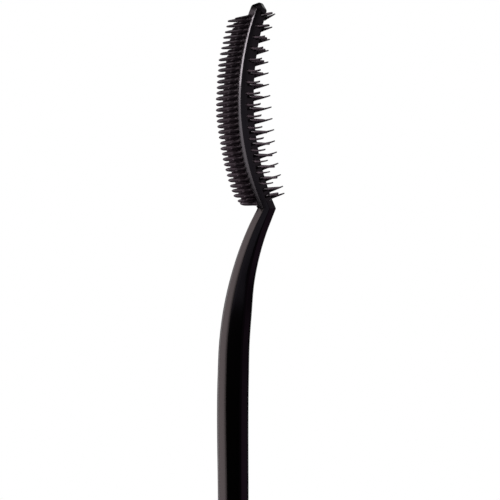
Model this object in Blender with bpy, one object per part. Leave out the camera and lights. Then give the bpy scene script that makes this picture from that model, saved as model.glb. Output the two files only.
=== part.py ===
"""Lash-curling mascara applicator: a curved, two-shot moulded brush head on an octagonal swan-neck stem,
snapped into the cap that closes the bottle and serves as the handle.

Frame: metres, +Z up. The wand stands on its cap as it does on a dressing table, brush up. The origin is the
centre of the cap's closed end, +Z runs up the cap's axis, and the swan neck bends in the XZ plane, with the
hollow (concave) side of the brush towards +X. Everything is mirror-symmetric about Y = 0.
"""

import math

import bmesh
import bpy
import numpy as np
from mathutils import Matrix, Vector

# --- driving dimensions -------------------------------------------------------------------------------
FIT_GAP = 0.00005  # between two moulded pieces that touch
CAP_RADIUS = 0.0097
CAP_LENGTH = 0.045
CAP_WALL = 0.0012
SOCKET_DEPTH = 0.013  # how far the bottle's neck goes into the cap
SOCKET_RADIUS = 0.0073
COLLAR_HEIGHT = 0.004
EDGE_BREAK = 0.0003  # chamfer on the cap's outer edges
TURNED_STEPS = 40

# --- the stem: an octagon, a square whose corners are cut ---------------------------------------------
# (height above the cap's mouth, offset along +X, width square to the run) of each place where the run changes
STEM_RUN = (
    (0.0000, 0.00000, 0.00400),
    (0.0175, 0.00000, 0.00408),
    (0.0217, 0.00014, 0.00399),
    (0.0259, 0.00055, 0.00375),
    (0.0300, 0.00119, 0.00320),
    (0.0342, 0.00231, 0.00273),
    (0.0383, 0.00389, 0.00231),
    (0.0393, 0.00434, 0.00221),
)
NECK_CHAMFER = 0.00074
FOOT_CHAMFER = 0.00109
KNEE_LEAN = math.radians(23.64)  # the stem leans this much to +X below the knee and the brush to -X above it
STEM_RINGS = 22

# --- the brush head -----------------------------------------------------------------------------------
ARC_RADIUS = 0.03554
HEAD_LENGTH = 0.02738  # along the arc, from the knee to the tip
MITRE_RISE = 0.0006  # the head's first square section above the level cut at the knee
CORE_HALF_WIDTH = 0.0013  # at its thickest
CORE_SECTION_DEPTH = 0.92  # half depth along Y over half width
CORE_SECTION_CHAMFER = 0.69  # corner cut over half width
# (share of the head, share of that width)
CORE_SWELL = ((0.0, 0.85), (0.35, 0.98), (0.6, 1.0), (1.0, 0.81))
# (distance from the tip, share of the section)
TIP_TAPER = ((0.00130, 1.0), (0.00066, 0.95), (0.00045, 0.76), (0.00012, 0.39), (0.0, 0.22))
TIP_DEPTH_TAPER = 0.3  # how much of that taper the depth along Y follows
# Each corner cut on the convex side carries a shallower lip, beside the comb strip. At each share of the
# head: where it starts and ends across the section, and how much of its full height it has.
LIP_START = ((0.0, 0.31), (0.5, 0.31), (0.75, 0.25), (1.0, 0.25))
LIP_END = ((0.0, 0.78), (0.2, 0.80), (0.28, 0.74), (0.4, 0.70), (0.5, 0.60), (0.75, 0.52), (1.0, 0.47))
LIP_PROUD = ((0.0, 1.0), (0.925, 1.0), (0.945, 0.0))
LIP_RISE = math.tan(math.radians(20))
LIP_FOOT = 0.03  # width of the step at the lip's outer edge
STRIP_OVERLAP = 0.01  # the comb strip starts this far beyond the lip
BED_CHAMFER = 0.2  # width of the sloping part of the comb strip's bed, at most
SADDLE_EDGE = 0.10  # the lifting strip wraps round the concave side as far as this
CORNER_SHIFT = math.tan(math.radians(22.5))  # how far a 45 degree corner slides when both its faces move by 1
HEAD_RINGS = 16
COMB_STRIP = (0.00085, 0.02590)  # where the strips start and end along the head
LIFT_STRIP = (0.00085, 0.02630)
STRIP_THICKNESS = 0.00040
PIN_RADIUS = 0.00042  # the stem's pin inside the head
PIN_LENGTH = 0.0040
PIN_ROOT = 0.0006  # how far the pin reaches back into the stem
PEG_RADIUS = 0.00025  # the strips' pegs, which key them into the core
PEG_LENGTH = 0.00045
PEG_PLACES = (0.0075, 0.0120, 0.0165, 0.0210)
PEG_SIDES = 8
CUT_REACH = 0.5  # how far the strips' channels are cut beyond the core's surface, in half widths
PIN_SIDES = 16

# --- bristles -----------------------------------------------------------------------------------------
# At each share of the way from the lowest bristle (0) to the tip (1): how far the tips stand from the core's
# centre line,
COMB_REACH = (
    (0.0, 0.00300), (0.04, 0.00345), (0.25, 0.00352), (0.5, 0.00364), (0.8, 0.00356), (1.0, 0.00340),
)
COMB_SIDE_REACH = (
    (0.0, 0.00270), (0.04, 0.00300), (0.25, 0.00328), (0.5, 0.00332), (0.7, 0.00310), (1.0, 0.00300),
)
LIFT_REACH = (
    (0.0, 0.00290), (0.06, 0.00315), (0.2, 0.00355), (0.35, 0.00370), (0.5, 0.00367), (0.6, 0.00333),
    (0.7, 0.00300), (0.8, 0.00268), (0.9, 0.00246), (1.0, 0.00222),
)
SIDE_REACH = (
    (0.0, 0.00250), (0.06, 0.00335), (0.2, 0.00355), (0.3, 0.00352), (0.5, 0.00315), (0.8, 0.00275),
    (1.0, 0.00235),
)
EDGE_REACH = ((0.0, 0.00300), (0.3, 0.00340), (0.5, 0.00340), (0.8, 0.00300), (1.0, 0.00260))
# how many degrees they slope, the comb's tips down towards the stem and the lifting bristles' up,
COMB_SLOPE = ((0.0, 2.0), (0.08, 4.0), (0.3, 7.5), (0.5, 10.0), (0.75, 10.0), (1.0, 8.0))
COMB_SIDE_SLOPE = ((0.0, 0.0), (0.08, 2.0), (0.3, 4.0), (0.5, 6.5), (0.75, 8.0), (1.0, 8.0))
LIFT_SLOPE = ((0.0, 15.0), (0.1, 18.0), (0.3, 14.0), (0.5, 11.0), (0.9, 9.0), (1.0, 24.0))
SIDE_SLOPE = ((0.0, 13.0), (0.06, 4.0), (0.2, -1.0), (0.6, -1.5), (0.9, 0.0), (1.0, 12.0))
EDGE_SLOPE = ((0.0, 1.5), (0.3, 3.0), (1.0, 3.5))
# and the angle of their roots round the core, in degrees.
MIDDLE_ROOT = ((0.0, 0),)
SIDE_ROOT = ((0.0, 13), (0.3, 14), (0.5, 20), (1.0, 20))
OUTER_ROOT = ((0.0, 20), (0.3, 23), (0.5, 31), (0.8, 34), (1.0, 36))
# A row: the place of its first regular bristle, its pitch and how many it has; then its root angles, the
# angle of its bristles in degrees, their reach and slope, and their radius at the root and at the tip.
COMB_ROWS = (
    (0.00160, 0.000707, 34, MIDDLE_ROOT, 0, COMB_REACH, COMB_SLOPE, 0.00019, 0.00011),
    (0.00188, 0.000707, 34, SIDE_ROOT, 33, COMB_SIDE_REACH, COMB_SIDE_SLOPE, 0.00018, 0.00009),
    (0.00206, 0.000707, 34, OUTER_ROOT, 57, COMB_SIDE_REACH, COMB_SIDE_SLOPE, 0.00017, 0.00009),
)
LIFT_ROWS = (
    (0.00210, 0.00157, 16, MIDDLE_ROOT, 0, LIFT_REACH, LIFT_SLOPE, 0.00024, 0.00006),
    (0.00241, 0.00157, 16, ((0.0, 38),), 34, SIDE_REACH, SIDE_SLOPE, 0.00021, 0.00008),
    (0.00340, 0.001497, 15, ((0.0, 70),), 38, EDGE_REACH, EDGE_SLOPE, 0.00018, 0.00006),
)
LOWEST = 0.00120  # one more station below the regular ones, in the rows that start near it
STARTS_LOW = 0.0030
BRISTLE_ROOT_DEPTH = 0.00018  # how far a bristle's base is sunk into its strip
BRISTLE_SIDES = 5
BISECTIONS = 30

# --- the cap ------------------------------------------------------------------------------------------
FLANGE_HEIGHT = 0.0012  # the stem's flange, which rests on the socket's floor
FLANGE_RADIUS = 0.0035
PLUG_RADIUS = 0.0023
BARB_RADIUS = 0.0026
BARB_LENGTH = 0.0010
BARB_TAPER = 0.0002
BOSS_END = 0.021  # height of the boss's lower end, which the stem's barb snaps past
BOSS_RADIUS = 0.0042
INSERT_RADIUS = 0.0084
INSERT_FLOOR = 0.0015
SNAP_BEAD = 0.0003  # the bead inside the mouth that clicks over the bottle's neck
BEAD_HEIGHT = 0.0423
BEAD_FLAT = 0.0002  # half the length of the bead's crest
BEAD_FOOT = 0.0007  # and of its foot
INNER_LIP = 0.00785
WASHER_THICKNESS = 0.0010
WASHER_INNER_GAP = 0.00015
WASHER_OUTER_GAP = 0.0002
DISC_THICKNESS = 0.0019
DISC_PROUD = 0.0003  # the end disc stands this far below the shell, so the wand rests on it
WEIGHT_HEIGHT = 0.0060
WEIGHT_HOLE = 0.0025

MOUTH = CAP_LENGTH
KNEE = Vector((STEM_RUN[-1][1], 0, MOUTH + STEM_RUN[-1][0]))
SOCKET_FLOOR = MOUTH - SOCKET_DEPTH


# --- helpers ------------------------------------------------------------------------------------------
def read_table(table, at):
    """The table's second column at this value of its first."""
    keys, values = zip(*table)
    return float(np.interp(at, keys, values))


def material(name, colour, roughness, metallic=0.0):
    made = bpy.data.materials.new(name)
    made.use_nodes = True
    shader = made.node_tree.nodes["Principled BSDF"]
    shader.inputs["Base Color"].default_value = (*colour, 1)
    shader.inputs["Roughness"].default_value = roughness
    shader.inputs["Metallic"].default_value = metallic
    return made


def object_from(name, bm, finish=None, parent=None):
    """A new object that holds the bmesh, smooth on its round faces and sharp at its edges."""
    bmesh.ops.recalc_face_normals(bm, faces=bm.faces)
    mesh = bpy.data.meshes.new(name)
    bm.to_mesh(mesh)
    bm.free()
    mesh.shade_smooth()
    mesh.set_sharp_from_angle(angle=math.radians(30))
    made = bpy.data.objects.new(name, mesh)
    bpy.context.scene.collection.objects.link(made)
    made.parent = parent
    if finish:
        mesh.materials.append(finish)
    return made


def helper(name, bm):
    """An object that only cuts or joins: it isn't part of the model."""
    made = object_from(name, bm)
    made.hide_render = True
    made.display_type = "WIRE"
    return made


def boolean(target, other, operation):
    made = target.modifiers.new(other.name, "BOOLEAN")
    made.operation = operation
    made.object = other
    made.solver = "EXACT"


def loft(rings):
    """A closed bmesh through rings of points, which all have the same number of points."""
    bm = bmesh.new()
    loops = [[bm.verts.new(point) for point in ring] for ring in rings]
    count = len(loops[0])
    for lower, upper in zip(loops, loops[1:]):
        for i in range(count):
            j = (i + 1) % count
            bm.faces.new((lower[i], lower[j], upper[j], upper[i]))
    bm.faces.new(loops[0])
    bm.faces.new(loops[-1])
    bmesh.ops.triangulate(bm, faces=[f for f in bm.faces if len(f.verts) > 4])
    return bm


def turned(profile):
    """A closed bmesh: the outline, (radius, height) points in order, spun about the Z axis."""
    bm = bmesh.new()
    points = [bm.verts.new((radius, 0, height)) for radius, height in profile]
    edges = [bm.edges.new((a, b)) for a, b in zip(points, points[1:] + points[:1])]
    bmesh.ops.spin(
        bm,
        geom=points + edges,
        axis=(0, 0, 1),
        cent=(0, 0, 0),
        angle=2 * math.pi,
        steps=TURNED_STEPS,
        use_merge=True,
    )
    bmesh.ops.remove_doubles(bm, verts=bm.verts, dist=1e-7)
    return bm


def cylinder(bm, start, end, start_radius, end_radius, sides):
    """Adds a closed cone or cylinder between two points."""
    along = end - start
    place = Matrix.Translation((start + end) / 2) @ along.to_track_quat("Z", "Y").to_matrix().to_4x4()
    bmesh.ops.create_cone(
        bm,
        cap_ends=True,
        cap_tris=False,
        segments=sides,
        radius1=start_radius,
        radius2=end_radius,
        depth=along.length,
        matrix=place,
    )


def octagon(half_width, half_depth, chamfer):
    """Corner points (across, deep) of a rectangle with its corners cut."""
    w, d = half_width, half_depth
    return [
        (-w, -(d - chamfer)), (-(w - chamfer), -d), (w - chamfer, -d), (w, -(d - chamfer)),
        (w, d - chamfer), (w - chamfer, d), (-(w - chamfer), d), (-w, d - chamfer),
    ]


# --- the head's arc -----------------------------------------------------------------------------------
ARC_CENTRE = KNEE + ARC_RADIUS * Vector((math.cos(KNEE_LEAN), 0, math.sin(KNEE_LEAN)))


class Station:
    """A place along the head's arc: its centre, its frame and the core's size there."""

    def __init__(self, along):
        lean = along / ARC_RADIUS - KNEE_LEAN
        self.hollow = Vector((math.cos(lean), 0, -math.sin(lean)))  # towards the concave side
        self.up = Vector((math.sin(lean), 0, math.cos(lean)))
        self.centre = ARC_CENTRE - ARC_RADIUS * self.hollow
        self.half_width = CORE_HALF_WIDTH * read_table(CORE_SWELL, along / HEAD_LENGTH)

    def point(self, across, deep):
        """A point of the section, given in half widths of the core."""
        return self.centre + self.hollow * (across * self.half_width) + Vector((0, deep * self.half_width, 0))

    def surface(self, direction):
        """How far the core's outer surface lies from the centre line along a direction."""
        across, deep = abs(direction.dot(self.hollow)), abs(direction.y)
        w, d = self.half_width, self.half_width * CORE_SECTION_DEPTH
        corner = w + d - self.half_width * CORE_SECTION_CHAMFER
        return min(w / max(across, 1e-9), d / max(deep, 1e-9), corner / (across + deep))


# --- sections of the head, in half widths of the core -------------------------------------------------
CORE_SECTION = octagon(1, CORE_SECTION_DEPTH, CORE_SECTION_CHAMFER)
FLAT = 1 - CORE_SECTION_CHAMFER  # half the width of the flat front and back faces
WALL = CORE_SECTION_DEPTH - CORE_SECTION_CHAMFER  # half the depth of the flat side faces
STRIP_SHARE = STRIP_THICKNESS / CORE_HALF_WIDTH


def mirrored(half):
    """A closed outline: these points of its -Y half, and the same on its +Y half."""
    return half + [(x, -y) for x, y in reversed(half)]


def core_section(along):
    """Outline of the core, with the lips on its convex side."""
    start, end, proud = (read_table(table, along / HEAD_LENGTH) for table in (LIP_START, LIP_END, LIP_PROUD))
    start = start * proud + FLAT * (1 - proud)
    crest = CORE_SECTION_DEPTH - (end - start) * (LIP_RISE * proud + 1 - proud)
    foot = end + LIP_FOOT
    return mirrored([
        (1, -WALL), (FLAT, -CORE_SECTION_DEPTH), (-start, -CORE_SECTION_DEPTH), (-end, -crest),
        (-foot, -(CORE_SECTION_DEPTH - foot + FLAT)), (-1, -WALL),
    ])


def comb_section(along, grow=0.0, reach=0.0):
    """Outline of the comb strip, which lies on the convex side between the lips. Grow pushes the outline
    outwards, and reach pulls its outer skin clear of the core."""
    edge = read_table(LIP_END, along / HEAD_LENGTH) + STRIP_OVERLAP
    edge_deep = CORE_SECTION_DEPTH + FLAT - edge
    step, widen = STRIP_SHARE / math.sqrt(2), grow / math.sqrt(2)
    bed = 1 - STRIP_SHARE - grow
    bend = WALL + STRIP_SHARE * (1 - math.sqrt(2)) - grow * CORNER_SHIFT
    half = [
        (-bed, -min(bend, edge_deep - step)),
        (-max(edge - step - 2 * widen, bed - BED_CHAMFER), -(edge_deep - step)),
        (-(edge - widen), -(edge_deep + widen)),
    ]
    if reach:
        half.append((-(edge - widen + reach), -(edge_deep + widen + reach)))
    half.append((-(1 + reach), -WALL - reach * CORNER_SHIFT))
    return mirrored(half)


def saddle_section(along, grow=0.0, reach=0.0):
    """Outline of the lifting strip, which wraps the concave side, out to the flat front and back faces."""
    inner = CORE_SECTION_DEPTH - STRIP_SHARE - grow
    skin = CORE_SECTION_DEPTH + reach
    shift = STRIP_SHARE * (math.sqrt(2) - 1)
    return mirrored([
        (1 - STRIP_SHARE - grow, -(WALL - shift)), (FLAT - shift - grow * CORNER_SHIFT, -inner),
        (SADDLE_EDGE - grow, -inner), (SADDLE_EDGE - grow, -skin),
        (FLAT + reach * CORNER_SHIFT, -skin), (1 + reach, -WALL - reach * CORNER_SHIFT),
    ])


def sweep(section, places, **settings):
    """The rings of a section that changes along the head's arc."""
    rings = []
    for along in places:
        station = Station(along)
        rings.append([station.point(*corner) for corner in section(along, **settings)])
    return rings


def mitre(section, height):
    """The head's section where it is cut level at this height above the knee."""
    foot = Station(0)
    corners = [foot.point(*corner) for corner in section]
    return [corner + foot.up * ((KNEE.z + height - corner.z) / foot.up.z) for corner in corners]


# --- bristles -----------------------------------------------------------------------------------------
def reach_of(point):
    """How far a point lies from the core's centre line."""
    return math.hypot(math.hypot(point.x - ARC_CENTRE.x, point.z - ARC_CENTRE.z) - ARC_RADIUS, point.y)


def bristle(side, along, root_angle, angle, reach, slope):
    """Root and tip of one bristle: -1 is the comb's side, the convex one, and 1 the lifting bristles'."""
    station = Station(along)
    radial = station.hollow * side * math.cos(root_angle) - Vector((0, math.sin(root_angle), 0))
    across, deep = side * math.cos(slope) * math.cos(angle), -math.cos(slope) * math.sin(angle)
    direction = Vector((across, deep, side * math.sin(slope)))
    skin = station.centre + radial * station.surface(radial)
    short, long = 0.0, 2 * reach
    for _ in range(BISECTIONS):
        middle = (short + long) / 2
        if reach_of(skin + direction * middle) < reach:
            short = middle
        else:
            long = middle
    return skin - direction * BRISTLE_ROOT_DEPTH, skin + direction * long


def bristle_rows(name, side, rows):
    """One helper object for each row, so that no helper touches itself."""
    made = []
    middle_first, middle_pitch, middle_count = rows[0][:3]
    highest = middle_first + (middle_count - 1) * middle_pitch
    for first, pitch, count, roots, angle, reaches, slopes, root_radius, tip_radius in rows:
        places = [first + index * pitch for index in range(count)]
        if first < STARTS_LOW:
            places.insert(0, LOWEST + first - middle_first)
        for front in (1, -1) if angle else (1,):
            bm = bmesh.new()
            for along in places:
                share = (along - LOWEST) / (highest - LOWEST)
                root_angle = math.radians(front * read_table(roots, share))
                reach, slope = read_table(reaches, share), math.radians(read_table(slopes, share))
                ends = bristle(side, along, root_angle, math.radians(front * angle), reach, slope)
                cylinder(bm, *ends, root_radius, tip_radius, BRISTLE_SIDES)
            made.append(helper(f"{name}_row_{front * angle}", bm))
    return made


def pegs(name, side, radius, length):
    """Short pins from a strip's bed into the core."""
    bm = bmesh.new()
    for along in PEG_PLACES:
        station = Station(along)
        bed = station.half_width * (1 - STRIP_SHARE)
        start = station.centre + station.hollow * side * (bed + STRIP_THICKNESS / 2)
        end = station.centre + station.hollow * side * (bed - length)
        cylinder(bm, start, end, radius, radius, PEG_SIDES)
    return helper(name, bm)


# --- parts --------------------------------------------------------------------------------------------
def make_head_core(finish, wand):
    """The stiff first shot: a curved bar with a channel on its convex side and a seat on its concave one."""
    lip_ends = [share * HEAD_LENGTH for share, _ in LIP_PROUD[1:]]
    places = [*np.linspace(MITRE_RISE, HEAD_LENGTH - TIP_TAPER[0][0], HEAD_RINGS), *lip_ends]
    rings = [mitre(core_section(0), FIT_GAP)] + sweep(core_section, sorted(places))
    for from_tip, share in TIP_TAPER[1:]:
        station = Station(HEAD_LENGTH - from_tip)
        depth_share = 1 - (1 - share) * TIP_DEPTH_TAPER
        rings.append([station.point(x * share, y * depth_share) for x, y in core_section(HEAD_LENGTH)])
    core = object_from("head_core", loft(rings), finish, wand)
    grow = FIT_GAP / CORE_HALF_WIDTH
    for name, section, (start, end) in (
        ("comb_channel", comb_section, COMB_STRIP),
        ("saddle_seat", saddle_section, LIFT_STRIP),
    ):
        places = np.linspace(start - FIT_GAP, end + FIT_GAP, HEAD_RINGS)
        cut = sweep(section, places, grow=grow, reach=CUT_REACH)
        boolean(core, helper(name, loft(cut)), "DIFFERENCE")
    for name, side in (("comb_peg_holes", -1), ("saddle_peg_holes", 1)):
        holes = pegs(name, side, PEG_RADIUS + FIT_GAP, PEG_LENGTH + FIT_GAP)
        boolean(core, holes, "DIFFERENCE")
    boolean(core, pin("pin_bore", FIT_GAP), "DIFFERENCE")


def pin(name, grow):
    """The stem's pin, straight, along the head's direction half way up it."""
    middle = Station(PIN_LENGTH / 2)
    foot = middle.centre - middle.up * (PIN_LENGTH / 2)
    bm = bmesh.new()
    start, end = foot - middle.up * PIN_ROOT, foot + middle.up * (PIN_LENGTH + grow)
    cylinder(bm, start, end, PIN_RADIUS + grow, PIN_RADIUS + grow, PIN_SIDES)
    return helper(name, bm)


def make_strip(name, side, section, ends, rows, finish, wand):
    """The soft second shot: a strip along the core with its rows of bristles."""
    strip = object_from(name, loft(sweep(section, np.linspace(*ends, HEAD_RINGS))), finish, wand)
    for row in bristle_rows(name, side, rows):
        boolean(strip, row, "UNION")
    boolean(strip, pegs(name + "_pegs", side, PEG_RADIUS, PEG_LENGTH), "UNION")


def smooth_run(count):
    """The stem's (height, offset, width) at evenly spaced heights, on one smooth curve through STEM_RUN."""
    knots = np.array(STEM_RUN)
    slopes = np.gradient(knots, knots[:, 0], axis=0)
    slopes[0, 1:] = 0
    slopes[-1, 1] = math.tan(KNEE_LEAN)
    run = []
    for height in np.linspace(knots[0, 0], knots[-1, 0], count):
        i = min(int(np.searchsorted(knots[:, 0], height, side="right")) - 1, len(knots) - 2)
        span = knots[i + 1, 0] - knots[i, 0]
        t = (height - knots[i, 0]) / span
        hermite = (2 * t**3 - 3 * t**2 + 1, t**3 - 2 * t**2 + t, -2 * t**3 + 3 * t**2, t**3 - t**2)
        point = (
            hermite[0] * knots[i] + hermite[1] * span * slopes[i]
            + hermite[2] * knots[i + 1] + hermite[3] * span * slopes[i + 1]
        )
        run.append((height, float(point[1]), float(point[2])))
    return run


def stem_ring(height, offset, width, lean):
    """One ring of the stem, square to its run."""
    share = min(max(height / STEM_RUN[-1][0], 0), 1)
    chamfer = FOOT_CHAMFER + (NECK_CHAMFER - FOOT_CHAMFER) * share**2
    across = Vector((math.cos(lean), 0, -math.sin(lean)))
    centre = Vector((offset, 0, MOUTH + height))
    section = octagon(width / 2, width / 2, chamfer)
    return [centre + across * x + Vector((0, y, 0)) for x, y in section]


def make_stem(finish, wand):
    """The octagonal swan neck, its knee, the pin that holds the head and the foot that snaps into the cap."""
    run = smooth_run(STEM_RINGS)
    foot_middle = SOCKET_FLOOR + FIT_GAP + FLANGE_HEIGHT / 2
    rings = [stem_ring(foot_middle - MOUTH, 0.0, STEM_RUN[0][2], 0.0)]
    for i, (height, offset, width) in enumerate(run[:-2]):
        before, after = run[max(i - 1, 0)], run[i + 1]
        lean = math.atan2(after[1] - before[1], after[0] - before[0])
        rings.append(stem_ring(height, offset, width, lean))
    rings.append(mitre(CORE_SECTION, 0))
    stem = object_from("stem", loft(rings), finish, wand)
    boolean(stem, pin("stem_pin", 0), "UNION")
    floor = SOCKET_FLOOR + FIT_GAP
    flange, barb = floor + FLANGE_HEIGHT, BOSS_END - FIT_GAP
    foot = turned([
        (0, barb - BARB_LENGTH), (PLUG_RADIUS - BARB_TAPER, barb - BARB_LENGTH),
        (BARB_RADIUS, barb - EDGE_BREAK), (BARB_RADIUS, barb), (PLUG_RADIUS, barb), (PLUG_RADIUS, floor),
        (FLANGE_RADIUS, floor),
        (FLANGE_RADIUS, flange - EDGE_BREAK), (FLANGE_RADIUS - EDGE_BREAK, flange), (0, flange),
    ])
    boolean(stem, helper("stem_foot", foot), "UNION")


def make_cap_insert(finish, cap):
    """The inner cap: the socket for the bottle's neck, with its snap bead, and the stem's boss."""
    bore = PLUG_RADIUS + FIT_GAP
    top = MOUTH - EDGE_BREAK - FIT_GAP
    underside = SOCKET_FLOOR - INSERT_FLOOR
    bead = SOCKET_RADIUS - SNAP_BEAD
    object_from("cap_insert", turned([
        (bore, BOSS_END), (bore, SOCKET_FLOOR), (SOCKET_RADIUS, SOCKET_FLOOR),
        (SOCKET_RADIUS, BEAD_HEIGHT - BEAD_FOOT), (bead, BEAD_HEIGHT - BEAD_FLAT),
        (bead, BEAD_HEIGHT + BEAD_FLAT), (SOCKET_RADIUS, BEAD_HEIGHT + BEAD_FOOT),
        (SOCKET_RADIUS, top - EDGE_BREAK), (SOCKET_RADIUS + EDGE_BREAK, top), (INSERT_RADIUS, top),
        (INSERT_RADIUS, underside), (BOSS_RADIUS, underside), (BOSS_RADIUS, BOSS_END),
    ]), finish, cap)


def make_seal_washer(finish, cap):
    """The soft washer on the socket's floor that the bottle's neck presses on."""
    low = SOCKET_FLOOR + FIT_GAP
    inner, outer = FLANGE_RADIUS + WASHER_INNER_GAP, SOCKET_RADIUS - WASHER_OUTER_GAP
    object_from("seal_washer", turned([
        (inner, low), (inner, low + WASHER_THICKNESS), (outer, low + WASHER_THICKNESS), (outer, low),
    ]), finish, cap)


def make_collar_ring(finish, cap):
    """The bright ring round the cap's mouth, whose inner lip covers the insert's edge."""
    low, bore = MOUTH - COLLAR_HEIGHT, CAP_RADIUS - CAP_WALL
    object_from("collar_ring", turned([
        (bore, low), (bore, MOUTH - EDGE_BREAK), (INNER_LIP, MOUTH - EDGE_BREAK), (INNER_LIP, MOUTH),
        (CAP_RADIUS - EDGE_BREAK, MOUTH), (CAP_RADIUS, MOUTH - EDGE_BREAK), (CAP_RADIUS, low),
    ]), finish, cap)


def make_cap_shell(finish, cap):
    """The outer tube that is held in the hand."""
    top, bore = MOUTH - COLLAR_HEIGHT - FIT_GAP, CAP_RADIUS - CAP_WALL
    object_from("cap_shell", turned([
        (bore, DISC_PROUD), (bore, top), (CAP_RADIUS, top), (CAP_RADIUS, DISC_PROUD + EDGE_BREAK),
        (CAP_RADIUS - EDGE_BREAK, DISC_PROUD),
    ]), finish, cap)


def make_end_disc(finish, cap):
    """The inlaid disc that closes the cap; its flat face is what the wand stands on."""
    radius = CAP_RADIUS - CAP_WALL - FIT_GAP * 2
    object_from("end_disc", turned([
        (0, 0), (radius - EDGE_BREAK, 0), (radius, EDGE_BREAK), (radius, DISC_THICKNESS), (0, DISC_THICKNESS),
    ]), finish, cap)


def make_cap_weight(finish, cap):
    """The steel slug that gives the cap its heft."""
    low = DISC_THICKNESS + FIT_GAP
    outer = CAP_RADIUS - CAP_WALL - FIT_GAP * 4
    object_from("cap_weight", turned([
        (WEIGHT_HOLE, low), (WEIGHT_HOLE, low + WEIGHT_HEIGHT), (outer, low + WEIGHT_HEIGHT), (outer, low),
    ]), finish, cap)


def main():
    for old in list(bpy.data.objects):
        bpy.data.objects.remove(old)
    wand = bpy.data.objects.new("wand", None)
    cap = bpy.data.objects.new("cap", None)
    for empty in (wand, cap):
        bpy.context.scene.collection.objects.link(empty)

    hard_black = material("hard_black_plastic", (0.010, 0.009, 0.010), 0.25)
    soft_black = material("soft_black_elastomer", (0.013, 0.011, 0.013), 0.40)
    shell_black = material("shell_black_gloss", (0.008, 0.008, 0.009), 0.12)
    dark_metal = material("dark_metal", (0.12, 0.12, 0.13), 0.22, 1.0)
    insert_black = material("insert_black_matte", (0.02, 0.02, 0.02), 0.55)
    washer_grey = material("washer_foam", (0.55, 0.55, 0.54), 0.85)
    steel = material("weight_steel", (0.55, 0.55, 0.56), 0.35, 1.0)

    make_head_core(hard_black, wand)
    make_strip("comb_strip", -1, comb_section, COMB_STRIP, COMB_ROWS, soft_black, wand)
    make_strip("lift_strip", 1, saddle_section, LIFT_STRIP, LIFT_ROWS, soft_black, wand)
    make_stem(hard_black, wand)
    make_cap_insert(insert_black, cap)
    make_seal_washer(washer_grey, cap)
    make_collar_ring(dark_metal, cap)
    make_cap_shell(shell_black, cap)
    make_end_disc(dark_metal, cap)
    make_cap_weight(steel, cap)


main()
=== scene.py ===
"""Looks of the lash-curling mascara wand: moulded black plastic, soft bristles and a plain black cap.

Metres, +Z up, in the CAD's frame: the origin is the centre of the cap's closed end, +Z runs up the cap's axis
and the hollow side of the brush faces +X. Turned outlines, bristle rows and their tips are in millimetres.
"""

import math
import random
from collections import namedtuple

import bmesh
import bpy
import numpy as np
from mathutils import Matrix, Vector


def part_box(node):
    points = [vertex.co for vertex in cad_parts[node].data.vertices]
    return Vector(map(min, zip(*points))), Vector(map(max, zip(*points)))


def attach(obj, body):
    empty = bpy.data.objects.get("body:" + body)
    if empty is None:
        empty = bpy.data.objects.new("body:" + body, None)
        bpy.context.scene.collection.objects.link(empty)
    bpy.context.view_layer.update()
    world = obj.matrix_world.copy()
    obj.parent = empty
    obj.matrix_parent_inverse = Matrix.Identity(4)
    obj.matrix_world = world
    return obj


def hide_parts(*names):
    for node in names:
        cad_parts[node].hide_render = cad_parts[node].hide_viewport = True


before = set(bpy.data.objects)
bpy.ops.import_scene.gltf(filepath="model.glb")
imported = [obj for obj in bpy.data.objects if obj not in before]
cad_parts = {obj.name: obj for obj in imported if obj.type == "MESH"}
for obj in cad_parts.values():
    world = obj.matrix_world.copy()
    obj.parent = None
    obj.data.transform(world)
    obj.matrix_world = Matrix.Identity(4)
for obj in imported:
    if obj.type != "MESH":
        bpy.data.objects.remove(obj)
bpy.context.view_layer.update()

MM = 0.001
SLIVER = 0.0001 * MM  # corners this close after a boolean are merged
CLEANING_ROUNDS = 3

# --- the frame's landmarks ----------------------------------------------------------------------------
FIT_GAP = 0.05 * MM
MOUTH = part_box("collar_ring")[1].z
COLLAR_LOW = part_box("collar_ring")[0].z
CAP_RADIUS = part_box("collar_ring")[1].x
SHELL_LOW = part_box("cap_shell")[0].z
BOSS_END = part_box("cap_insert")[0].z
SOCKET_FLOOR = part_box("seal_washer")[0].z - FIT_GAP

# --- the stem, as in the CAD --------------------------------------------------------------------------
# (height above the cap's mouth, offset along +X, width) of each place where the run changes
STEM_RUN = (
    (0.0000, 0.00000, 0.00400),
    (0.0175, 0.00000, 0.00408),
    (0.0217, 0.00014, 0.00399),
    (0.0259, 0.00055, 0.00375),
    (0.0300, 0.00119, 0.00320),
    (0.0342, 0.00231, 0.00273),
    (0.0383, 0.00389, 0.00231),
    (0.0393, 0.00434, 0.00221),
)
NECK_CHAMFER = 0.74 * MM
FOOT_CHAMFER = 1.09 * MM
STEM_FOOT = 0.65 * MM  # how far above the socket's floor the octagon starts, inside the flange
STEM_ROUNDING = (0.05 * MM, 0.45 * MM)  # of its edges, at the knee and below the bend
ROUNDING_RUN = 9 * MM
STEM_RINGS = 240
RINGS_TO_MITRE = 14  # the last rings of the run give way to the mitred one
KNEE_LEAN = math.radians(23.64)
KNEE = Vector((STEM_RUN[-1][1], 0, MOUTH + STEM_RUN[-1][0]))

# --- the head, as in the CAD --------------------------------------------------------------------------
ARC_RADIUS = 35.54 * MM
ARC_CENTRE = KNEE + ARC_RADIUS * Vector((math.cos(KNEE_LEAN), 0, math.sin(KNEE_LEAN)))
HEAD_LENGTH = 27.38 * MM
HEAD_RINGS = 120
MITRE_RISE = 0.6 * MM  # the head's first square section above the level cut at the knee
SEAM_GAP = 0.004 * MM
CORE_HALF_WIDTH = 1.3 * MM
CORE_SWELL = ((0.0, 0.85), (0.35, 0.98), (0.6, 1.0), (1.0, 0.81))
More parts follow.
